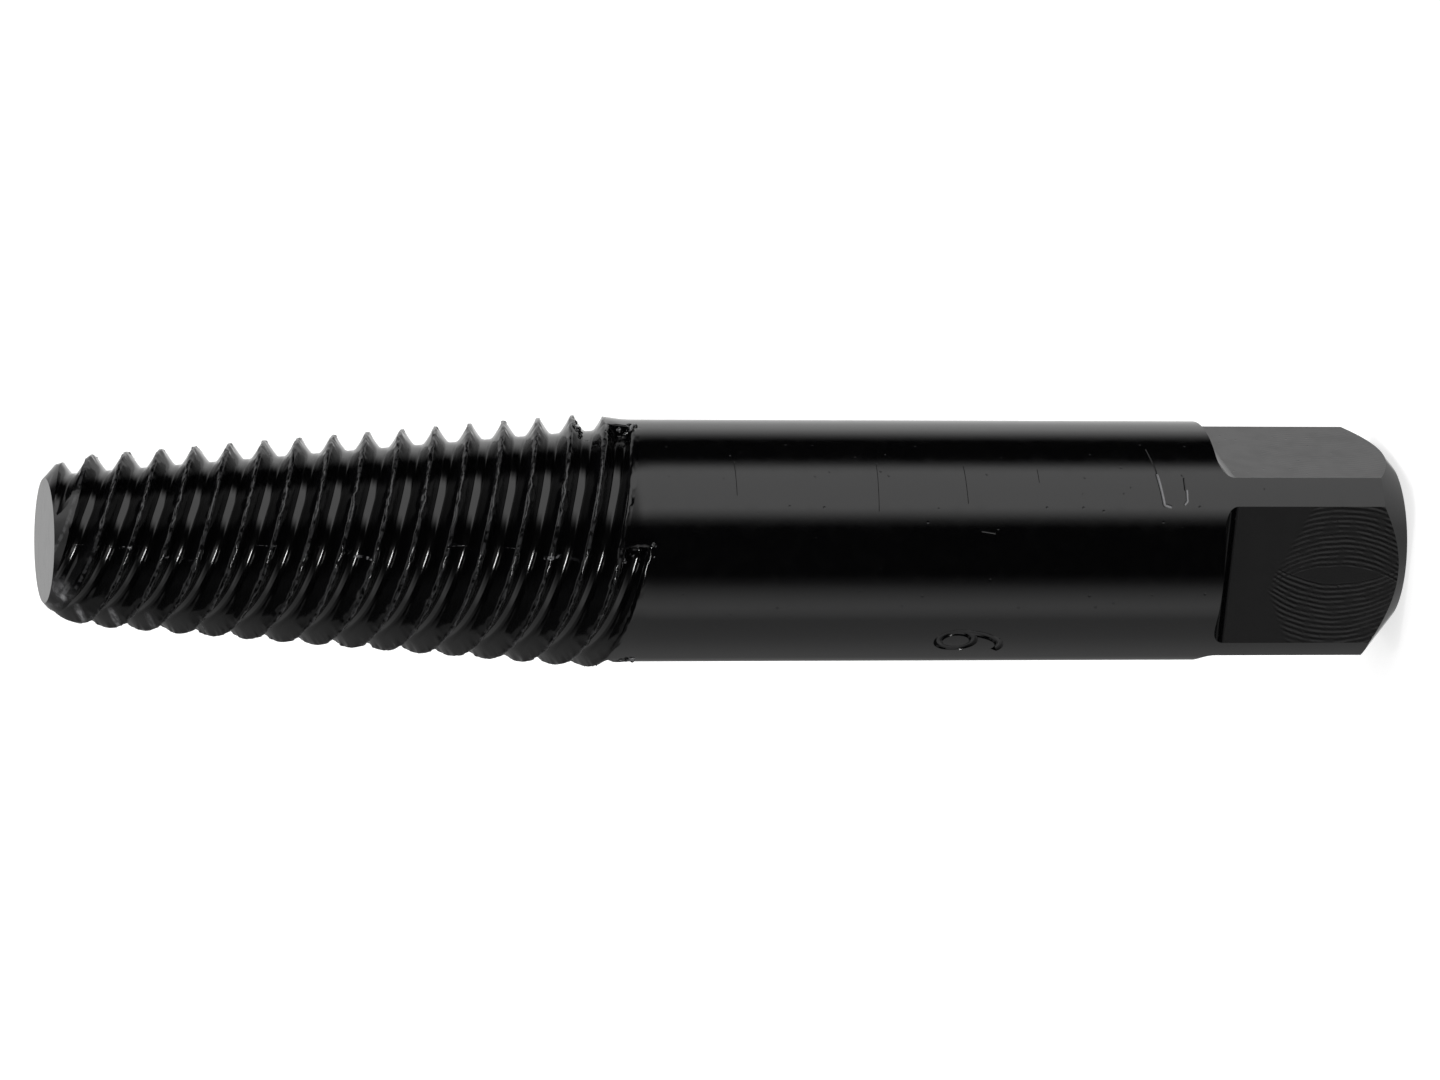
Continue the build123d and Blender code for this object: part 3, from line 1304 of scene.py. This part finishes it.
@dataclass
class Extractor:
    """The whole tool as one welded mesh."""

    size: ToolSize = field(default_factory=ToolSize)
    join_height: float = 51.0
    sharp_angle: float = 14.0
    tip_angle: float = 12.0
    seam_weld: float = 5e-7  # this one and the next two in metres
    rim_slack: float = 1e-5
    join_slack: float = 1e-4
    facing: float = 0.9
    end_slack: float = 0.1
    squareness: float = 0.999
    flat_slack: float = 0.02
    tip_slack: float = 0.001
    tip_reach: float = 4.0
    chamfer_slack: float = 0.006
    roundness: float = 0.9995
    skin_slack: float = 0.01

    @property
    def figure(self) -> StampedSix:
        """The number stamped in the shank."""
        return StampedSix(self.size)

    def zone(self, face: bmesh.types.BMFace) -> Zone:
        """Tells which finish a face gets.

        Args:
            face: A face of the welded mesh.

        Returns:
            The zone that the face lies in.
        """
        centre = face.calc_center_median() / MM
        size = self.size
        ended = not self.end_slack < centre.z < size.tip_height - self.end_slack
        if ended and abs(face.normal.z) > self.facing:
            return Zone.FACED
        reach, squareness = (max(abs(way.x), abs(way.y)) for way in (centre, face.normal))
        on_flat = squareness > self.squareness and abs(reach - size.across_flats / 2) < self.flat_slack
        if on_flat and centre.z < size.square_length:
            return Zone.MILLED
        return Zone.TURNED if centre.z < self.join_height else Zone.FLUTED

    def turned_tip(self, face: bmesh.types.BMFace) -> bool:
        """Tells whether a face lies on the tip's face or chamfers.

        Args:
            face: A face of the welded mesh.

        Returns:
            Whether it does.
        """
        size = self.size
        centre = face.calc_center_median() / MM
        drop = size.tip_height - centre.z
        if drop < self.tip_slack:
            return True
        lead = size.knee_radius + (drop - size.tip_lead_drop) * size.lead_slope
        turned = min(size.tip_face_radius + drop * size.chamfer_slope, lead)
        return drop < self.tip_reach and abs(math.hypot(centre.x, centre.y) - turned) < self.chamfer_slack

    def round_off(self, mesh: bpy.types.Mesh) -> None:
        """Gives the turned skin a true cylinder's normals, so that no edge of the mesh shows in its gloss.

        Args:
            mesh: The finished mesh. Normals elsewhere stay as they are.
        """
        normals = [Vector()] * len(mesh.loops)
        skin = (self.size.shank_radius - self.skin_slack) * MM
        for polygon in mesh.polygons:
            outward = polygon.center * Vector((1, 1, 0))
            on_skin = outward.length > skin and polygon.normal.dot(outward.normalized()) > self.roundness
            if on_skin and polygon.center.z < self.join_height * MM:
                for loop, index in zip(polygon.loop_indices, polygon.vertices):
                    normals[loop] = (mesh.vertices[index].co * Vector((1, 1, 0))).normalized()
        mesh.normals_split_custom_set(normals)

    def build(self) -> bpy.types.Object:
        """Builds the parts of the mesh, welds them and dresses them.

        Returns:
            The finished object.
        """
        finishes = {Zone.FLUTED: FlutedSkin(size=self.size).build(), Zone.TURNED: TurnedSkin().build(),
                    Zone.MILLED: MilledFlat().build(), Zone.FACED: FacedEnd().build(),
                    Zone.TORN: TornSteel().build()}
        spiral = Spiral(self.size, self.join_height)
        upper = spiral.build(finishes[Zone.FLUTED], finishes[Zone.TORN])
        burrs = Burrs(spiral).build(finishes[Zone.FLUTED], finishes[Zone.TORN])
        slots = {finish.name: zone.value for zone, finish in finishes.items()}
        for mesh in (upper, burrs):
            for polygon in mesh.polygons:
                polygon.material_index = slots[mesh.materials[polygon.material_index].name]
        lower = DrivingEnd(self.size, spiral).build(self.figure)
        form = bmesh.new()
        form.from_mesh(lower)
        lid = [face for face in form.faces
               if all(abs(corner.co.z - self.join_height * MM) < TOUCH for corner in face.verts)]
        bmesh.ops.delete(form, geom=lid, context="FACES")
        form.from_mesh(upper)
        bmesh.ops.remove_doubles(form, verts=form.verts, dist=self.seam_weld)
        rim = [edge for edge in form.edges if edge.is_boundary]
        top = self.size.tip_height * MM
        tip = [edge for edge in rim if all(abs(end.co.z - top) < self.rim_slack for end in edge.verts)]
        bmesh.ops.contextual_create(form, geom=tip)
        bmesh.ops.recalc_face_normals(form, faces=form.faces)
        blank = bpy.data.meshes.new("blank")
        form.to_mesh(blank)
        form.free()
        form = bmesh.new()
        form.from_mesh(cut(blank, [TipCutter(self.size).build()], Solver.QUICK))
        gaps = sum(not edge.is_manifold for edge in form.edges)
        log.info("body: %d faces, %d open edges", len(form.faces), gaps)
        for face in form.faces:
            face.smooth = True
            if face.material_index != Zone.TORN.value:
                face.material_index = self.zone(face).value
        for edge in form.edges:
            low = edge.verts[0].co.z < self.join_height * MM - self.join_slack
            high = any(self.turned_tip(face) for face in edge.link_faces)
            if (low or high) and len(edge.link_faces) == 2:
                limit = self.tip_angle if high else self.sharp_angle
                edge.smooth = edge.calc_face_angle(0.0) < math.radians(limit)
        form.from_mesh(burrs)
        mesh = bpy.data.meshes.new("screw_extractor_body")
        form.to_mesh(mesh)
        form.free()
        for zone in Zone:
            mesh.materials.append(finishes[zone])
        self.round_off(mesh)
        tool = bpy.data.objects.new("screw_extractor_body", mesh)
        bpy.context.scene.collection.objects.link(tool)
        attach(tool, BODY)
        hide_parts(NODE)
        triangles = sum(len(polygon.vertices) - 2 for polygon in mesh.polygons)
        log.info("%s: %d triangles", tool.name, triangles)
        return tool


@dataclass
class PhotoCamera:
    """The photograph's viewpoint: the standing tool is seen lying on its side, so the camera is rolled."""

    azimuth: float = 21.2
    elevation: float = 13.5
    distance: float = 600.0
    lens: float = 226.6
    aim_height: float = 45.9
    aim_up: float = 0.03

    def build(self) -> bpy.types.Object:
        """Makes the camera and gives it to the scene.

        Returns:
            The camera.
        """
        turn, tilt = math.radians(self.azimuth), math.radians(self.elevation)
        up = Vector((math.cos(turn), math.sin(turn), 0.0))
        back = Vector((math.cos(tilt) * math.sin(turn), -math.cos(tilt) * math.cos(turn), math.sin(tilt)))
        right = up.cross(back)
        aim = Vector((0, 0, self.aim_height)) + up * self.aim_up
        camera = bpy.data.cameras.new("photo_camera")
        camera.sensor_width = 36.0
        camera.lens = self.lens
        camera.clip_start, camera.clip_end = 0.01, 20.0
        viewer = bpy.data.objects.new("photo_camera", camera)
        pose = Matrix((right, up, back)).transposed().to_4x4()
        pose.translation = (aim + back * self.distance) * MM
        viewer.matrix_world = pose
        bpy.context.scene.collection.objects.link(viewer)
        bpy.context.scene.camera = viewer
        return viewer


@dataclass(frozen=True)
class CardRow:
    """One row of light and dark cards round the tool.

    Attributes:
        start: Elevation in degrees at which the row below gives way.
        end: Elevation at which this row has taken over.
        bands: Azimuth from the camera in degrees, and the brightness there.
    """

    start: float
    end: float
    bands: tuple[tuple[float, float], ...]


@dataclass
class Studio:
    """Plain soft studio: a pale floor, a white surround, and rows of cards that only the gloss sees."""

    camera_azimuth: float = -68.8
    floor_half: float = 3000.0
    card_distance: float = 2500.0
    lamp_aim: float = 70.0
    floor_glow: float = 0.72
    surround_light: float = 0.55
    rows: tuple[CardRow, ...] = (
        CardRow(-90, -90, ((-180, 0.2), (-120, 0.25), (-60, 0.28), (0, 0.25), (60, 0.15), (130, 0.4),
                           (170, 0.2))),
        CardRow(-74, -66, ((-180, 0.3), (-166, 0.32), (-158, 0.4), (-150, 0.02), (-105, 0.02), (-94, 0.2),
                           (-84, 0.2), (-72, 0.0), (90, 0.0), (110, 0.05), (130, 0.5), (150, 0.5),
                           (170, 0.3))),
        CardRow(-32, -24, ((-180, 1.0), (-175, 0.8), (-169, 0.2), (-150, 0.18), (-132, 0.3), (-119, 0.37),
                           (-82, 0.46), (-74, 0.73), (-67, 0.88), (-60, 0.78), (-53, 0.58), (-47, 0.37),
                           (-41, 0.12), (-33, 0.0), (13, 0.0), (19, 0.25), (25, 0.95), (31, 1.6),
                           (69, 1.6), (74, 1.1), (78, 0.4), (83, 0.03), (87, 0.0), (111, 0.0), (117, 0.25),
                           (124, 0.65), (134, 0.97), (145, 0.9), (160, 0.85), (179, 1.0))),
        CardRow(-4, 6, ((-180, 0.78), (-170, 0.4), (-150, 0.2), (-119, 0.19), (-90, 0.18), (-75, 0.08),
                        (-65, 0.0), (19, 0.0), (25, 0.95), (31, 1.6), (72, 1.6), (79, 0.5), (84, 0.0),
                        (112, 0.0), (126, 0.6), (160, 0.62), (179, 0.78))),
        CardRow(28, 40, ((-180, 0.05), (-150, 0.27), (-124, 0.24), (-112, 0.1), (-98, 0.01), (-84, 0.0),
                         (179, 0.05))),
        CardRow(50, 56, ((-180, 0.05), (-146, 0.1), (-128, 0.22), (-108, 0.1), (-98, 0.25), (-84, 0.25),
                         (-78, 0.0), (76, 0.0), (84, 1.3), (114, 1.3), (121, 0.0), (179, 0.05))),
        CardRow(70, 76, ((-180, 0.05), (-150, 0.08), (-115, 0.25), (-100, 0.6), (-60, 0.6), (0, 0.45),
                         (60, 0.5), (90, 0.9), (110, 0.4), (125, 0.03), (179, 0.05))),
    )

    def floor(self) -> None:
        """Lays the pale floor, which carries the tool's shadow."""
        form = bmesh.new()
        bmesh.ops.create_grid(form, x_segments=1, y_segments=1, size=self.floor_half * MM)
        mesh = bpy.data.meshes.new("floor")
        form.to_mesh(mesh)
        form.free()
        material = bpy.data.materials.new("pale matt board")
        tree = emptied(material)
        seen = Field(tree, add(tree, "ShaderNodeLightPath").outputs["Is Camera Ray"])
        matt = add(tree, "ShaderNodeBsdfDiffuse", {"Color": srgb("c4c4c4")})
        glow = add(tree, "ShaderNodeEmission", {"Color": (1, 1, 1, 1), "Strength": seen * self.floor_glow})
        both = add(tree, "ShaderNodeAddShader", {0: matt.outputs[0], 1: glow.outputs[0]})
        add(tree, "ShaderNodeOutputMaterial", {"Surface": both.outputs[0]})
        mesh.materials.append(material)
        board = bpy.data.objects.new("floor", mesh)
        board.visible_glossy = False
        bpy.context.scene.collection.objects.link(board)

    def cards(self) -> None:
        """Hangs the cards on a wide sphere round the tool, seen by reflections alone."""
        form = bmesh.new()
        bmesh.ops.create_icosphere(form, subdivisions=5, radius=self.card_distance * MM)
        mesh = bpy.data.meshes.new("reflection_cards")
        form.to_mesh(mesh)
        form.free()
        material = bpy.data.materials.new("light and dark cards")
        tree = emptied(material)
        place = add(tree, "ShaderNodeTexCoord").outputs["Object"]
        turned = add(tree, "ShaderNodeMapping", {"Vector": place,
                                                 "Rotation": (0, 0, math.radians(-self.camera_azimuth))})
        around = add(tree, "ShaderNodeTexGradient", {"Vector": turned.outputs[0]}, gradient_type="RADIAL")
        up = Field(tree, add(tree, "ShaderNodeSeparateXYZ", {0: place}).outputs[2])
        rise = up / (self.card_distance * MM)
        light = self.painted(tree, around.outputs["Fac"], self.rows[0])
        for row in self.rows[1:]:
            here = rise.by(Rule.RAMP, math.sin(math.radians(row.start)), math.sin(math.radians(row.end)))
            light = light + (self.painted(tree, around.outputs["Fac"], row) - light) * here
        glow = add(tree, "ShaderNodeEmission", {"Strength": light})
        add(tree, "ShaderNodeOutputMaterial", {"Surface": glow.outputs[0]})
        mesh.materials.append(material)
        sphere = bpy.data.objects.new("reflection_cards", mesh)
        bpy.context.scene.collection.objects.link(sphere)
        sphere.visible_camera = False
        sphere.visible_diffuse = False
        sphere.visible_transmission = False
        sphere.visible_shadow = False

    def painted(self, tree: bpy.types.NodeTree, around: bpy.types.NodeSocket, row: CardRow) -> Field:
        """Paints one row of cards.

        Args:
            tree: The cards' node tree.
            around: Where on the circle a point lies, from 0 to 1, counted from behind the tool.
            row: The row of cards.

        Returns:
            The brightness.
        """
        brightest = max(light for _, light in row.bands)
        painted = add(tree, "ShaderNodeValToRGB", {"Fac": around})
        ramp = painted.color_ramp
        ramp.elements.remove(ramp.elements[-1])
        for number, (azimuth, light) in enumerate(row.bands):
            stop = ramp.elements[0] if number == 0 else ramp.elements.new((azimuth + 180) / 360)
            stop.position = (azimuth + 180) / 360
            stop.color = (*[light / brightest] * 3, 1.0)
        return Field(tree, painted.outputs[0]) * brightest

    def lamp(self, name: str, azimuth: float, elevation: float, distance: float, width: float, height: float,
             energy: float) -> bpy.types.Object:
        """Hangs one flat lamp that faces the spiral.

        Args:
            name: Name of the lamp.
            azimuth: Azimuth from the camera, in degrees.
            elevation: Elevation seen from the middle of the spiral, in degrees.
            distance: Distance from there, in millimetres.
            width: Width in millimetres.
            height: Height in millimetres.
            energy: Power in watts.

        Returns:
            The lamp.
        """
        light = bpy.data.lights.new(name, "AREA")
        light.shape = "RECTANGLE"
        light.size, light.size_y = width * MM, height * MM
        light.energy = energy
        lamp = bpy.data.objects.new(name, light)
        turn, tilt = math.radians(self.camera_azimuth + azimuth), math.radians(elevation)
        way = Vector((math.cos(turn) * math.cos(tilt), math.sin(turn) * math.cos(tilt), math.sin(tilt)))
        lamp.location = Vector((0, 0, self.lamp_aim * MM)) + way * distance * MM
        lamp.rotation_euler = way.to_track_quat("Z", "Y").to_euler()
        bpy.context.scene.collection.objects.link(lamp)
        return lamp

    def build(self) -> None:
        """Sets up the floor, the cards, the lamps and the white surround."""
        self.floor()
        self.cards()
        overhead = self.lamp("overhead_softbox", azimuth=90, elevation=76, distance=1200, width=800,
                             height=800, energy=9.0)
        overhead.visible_glossy = False
        strip = self.lamp("strip_lamp", azimuth=-19, elevation=9, distance=600, width=180, height=50,
                          energy=1.3)
        strip.visible_diffuse = False
        strip.visible_camera = False
        world = bpy.data.worlds.new("surround")
        bpy.context.scene.world = world
        tree = emptied(world)
        seen = add(tree, "ShaderNodeLightPath")
        shows = Field(tree, seen.outputs["Is Camera Ray"])
        for ray in ("Is Glossy Ray", "Is Transmission Ray"):
            shows = shows.by(Rule.MAXIMUM, Field(tree, seen.outputs[ray]))
        light = shows * (1.0 - self.surround_light) + self.surround_light
        sky = add(tree, "ShaderNodeBackground", {"Color": (1, 1, 1, 1), "Strength": light})
        add(tree, "ShaderNodeOutputWorld", {"Surface": sky.outputs[0]})
        bpy.context.scene.view_settings.view_transform = "Standard"


def main() -> None:
    """Builds the tool, the camera and the studio."""
    logging.basicConfig(level=logging.INFO, format="%(name)s: %(message)s")
    PhotoCamera().build()
    Extractor().build()
    Studio().build()


if __name__ == "__main__":
    main()
